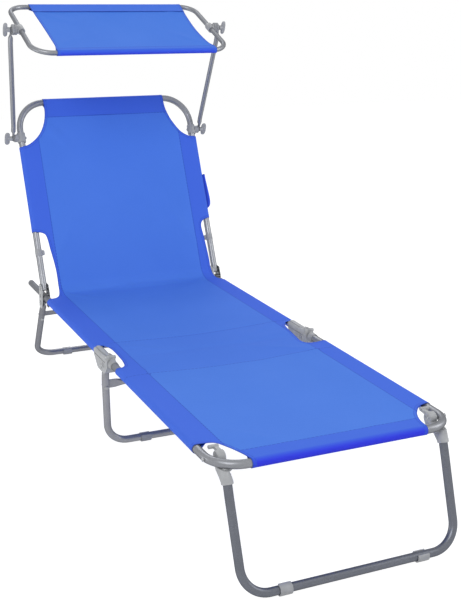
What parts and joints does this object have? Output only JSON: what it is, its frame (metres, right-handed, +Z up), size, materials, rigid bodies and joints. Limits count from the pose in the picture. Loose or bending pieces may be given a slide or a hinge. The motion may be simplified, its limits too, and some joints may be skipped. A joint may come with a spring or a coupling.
{
  "type": "sun lounger with canopy",
  "caption": "Folding garden lounger of bent steel tube with blue cloth slings, a reclining back, folding U legs and a small tilting sun canopy on side arms",
  "frame": {"origin": "bottom centre of the bounding box, on the ground", "axes": "+X to the side of the lying person, +Y from the feet to the head, +Z up"},
  "size_m": [0.6906, 1.6316, 1.1062],
  "materials": {
    "frame_paint": "satin powder coat, mid grey",
    "leg_paint": "satin powder coat, darker grey",
    "grey_plastic": "moulded light grey, fine matt",
    "zinc_steel": "zinc plated",
    "lounger_cloth": "plain woven synthetic, blue",
    "canopy_cloth": "plain woven synthetic, blue"
  },
  "bodies": {
    "seat_section": {"seat_tube_right": "frame_paint", "seat_tube_left": "frame_paint", "seat_tube_plug_right": "grey_plastic", "seat_tube_plug_left": "grey_plastic", "mid_hinge_shell_right": "grey_plastic", "mid_hinge_shell_left": "grey_plastic", "mid_hinge_pin_right": "zinc_steel", "mid_hinge_pin_left": "zinc_steel", "mid_leg_pin_right": "zinc_steel", "mid_leg_pin_left": "zinc_steel", "rear_hinge_bracket_right": "zinc_steel", "rear_hinge_bracket_left": "zinc_steel", "back_pivot_pin_right": "zinc_steel", "back_pivot_pin_left": "zinc_steel", "rear_leg_pin_right": "zinc_steel", "rear_leg_pin_left": "zinc_steel", "bracket_rivet_right": "zinc_steel", "bracket_rivet_left": "zinc_steel", "seat_sling": "lounger_cloth"},
    "mid_leg_frame": {"mid_leg": "leg_paint", "mid_brace": "leg_paint", "mid_brace_rivet_right": "zinc_steel", "mid_brace_rivet_left": "zinc_steel", "mid_foot_right": "grey_plastic", "mid_foot_left": "grey_plastic"},
    "rear_leg_frame": {"rear_leg": "leg_paint", "rear_brace": "leg_paint", "rear_brace_rivet_right": "zinc_steel", "rear_brace_rivet_left": "zinc_steel", "rear_foot_right": "grey_plastic", "rear_foot_left": "grey_plastic"},
    "foot_section": {"foot_frame": "frame_paint", "mid_hinge_knuckle_right": "grey_plastic", "mid_hinge_knuckle_left": "grey_plastic", "front_leg_bolt_right": "zinc_steel", "front_leg_bolt_left": "zinc_steel", "foot_sling": "lounger_cloth"},
    "front_leg_frame": {"front_leg": "leg_paint", "front_leg_head_right": "grey_plastic", "front_leg_head_left": "grey_plastic", "front_foot_right": "grey_plastic", "front_foot_left": "grey_plastic"},
    "backrest": {"back_frame": "frame_paint", "back_catch_right": "grey_plastic", "back_catch_left": "grey_plastic", "arm_clamp_right": "grey_plastic", "arm_clamp_left": "grey_plastic", "back_sling": "lounger_cloth", "side_pocket": "lounger_cloth"},
    "canopy_arms": {"canopy_arm_right": "frame_paint", "canopy_arm_left": "frame_paint"},
    "canopy_top": {"canopy_loop": "frame_paint", "loop_clamp_right": "grey_plastic", "loop_clamp_left": "grey_plastic", "canopy_cloth": "canopy_cloth"},
    "lower_knob_right_turn": {"lower_knob_right": "grey_plastic"},
    "lower_knob_left_turn": {"lower_knob_left": "grey_plastic"},
    "upper_knob_right_turn": {"upper_knob_right": "grey_plastic"},
    "upper_knob_left_turn": {"upper_knob_left": "grey_plastic"}
  },
  "joints": [
    {"name": "backrest_tilt", "type": "hinge", "parent": "seat_section", "child": "backrest", "pos_m": [0, 0.56266, 0.2908], "axis": [-1, 0, 0], "range_deg": [-80, 65]},
    {"name": "foot_section_fold", "type": "hinge", "parent": "seat_section", "child": "foot_section", "pos_m": [0, -0.07084, 0.278], "axis": [-1, 0, 0], "range_deg": [0, 168]},
    {"name": "rear_leg_fold", "type": "hinge", "parent": "seat_section", "child": "rear_leg_frame", "pos_m": [0, 0.56916, 0.243], "axis": [-1, 0, 0], "range_deg": [0, 124]},
    {"name": "mid_leg_fold", "type": "hinge", "parent": "seat_section", "child": "mid_leg_frame", "pos_m": [0, -0.03084, 0.243], "axis": [1, 0, 0], "range_deg": [0, 74]},
    {"name": "front_leg_fold", "type": "hinge", "parent": "foot_section", "child": "front_leg_frame", "pos_m": [0, -0.67884, 0.265], "axis": [1, 0, 0], "range_deg": [0, 109]},
    {"name": "canopy_arm_swing", "type": "hinge", "parent": "backrest", "child": "canopy_arms", "pos_m": [0, 0.75891, 0.71456], "axis": [1, 0, 0], "range_deg": [-165, 90]},
    {"name": "canopy_tilt", "type": "hinge", "parent": "canopy_arms", "child": "canopy_top", "pos_m": [0, 0.64261, 1.03937], "axis": [1, 0, 0], "range_deg": [-80, 80]},
    {"name": "lower_knob_right_turn", "type": "hinge", "parent": "canopy_arms", "child": "lower_knob_right_turn", "pos_m": [0.306, 0.75891, 0.71456], "axis": [1, 0, 0], "continuous": true},
    {"name": "lower_knob_left_turn", "type": "hinge", "parent": "canopy_arms", "child": "lower_knob_left_turn", "pos_m": [-0.306, 0.75891, 0.71456], "axis": [-1, 0, 0], "continuous": true},
    {"name": "upper_knob_right_turn", "type": "hinge", "parent": "canopy_arms", "child": "upper_knob_right_turn", "pos_m": [0.323, 0.64261, 1.03937], "axis": [1, 0, 0], "continuous": true},
    {"name": "upper_knob_left_turn", "type": "hinge", "parent": "canopy_arms", "child": "upper_knob_left_turn", "pos_m": [-0.323, 0.64261, 1.03937], "axis": [-1, 0, 0], "continuous": true}
  ]
}
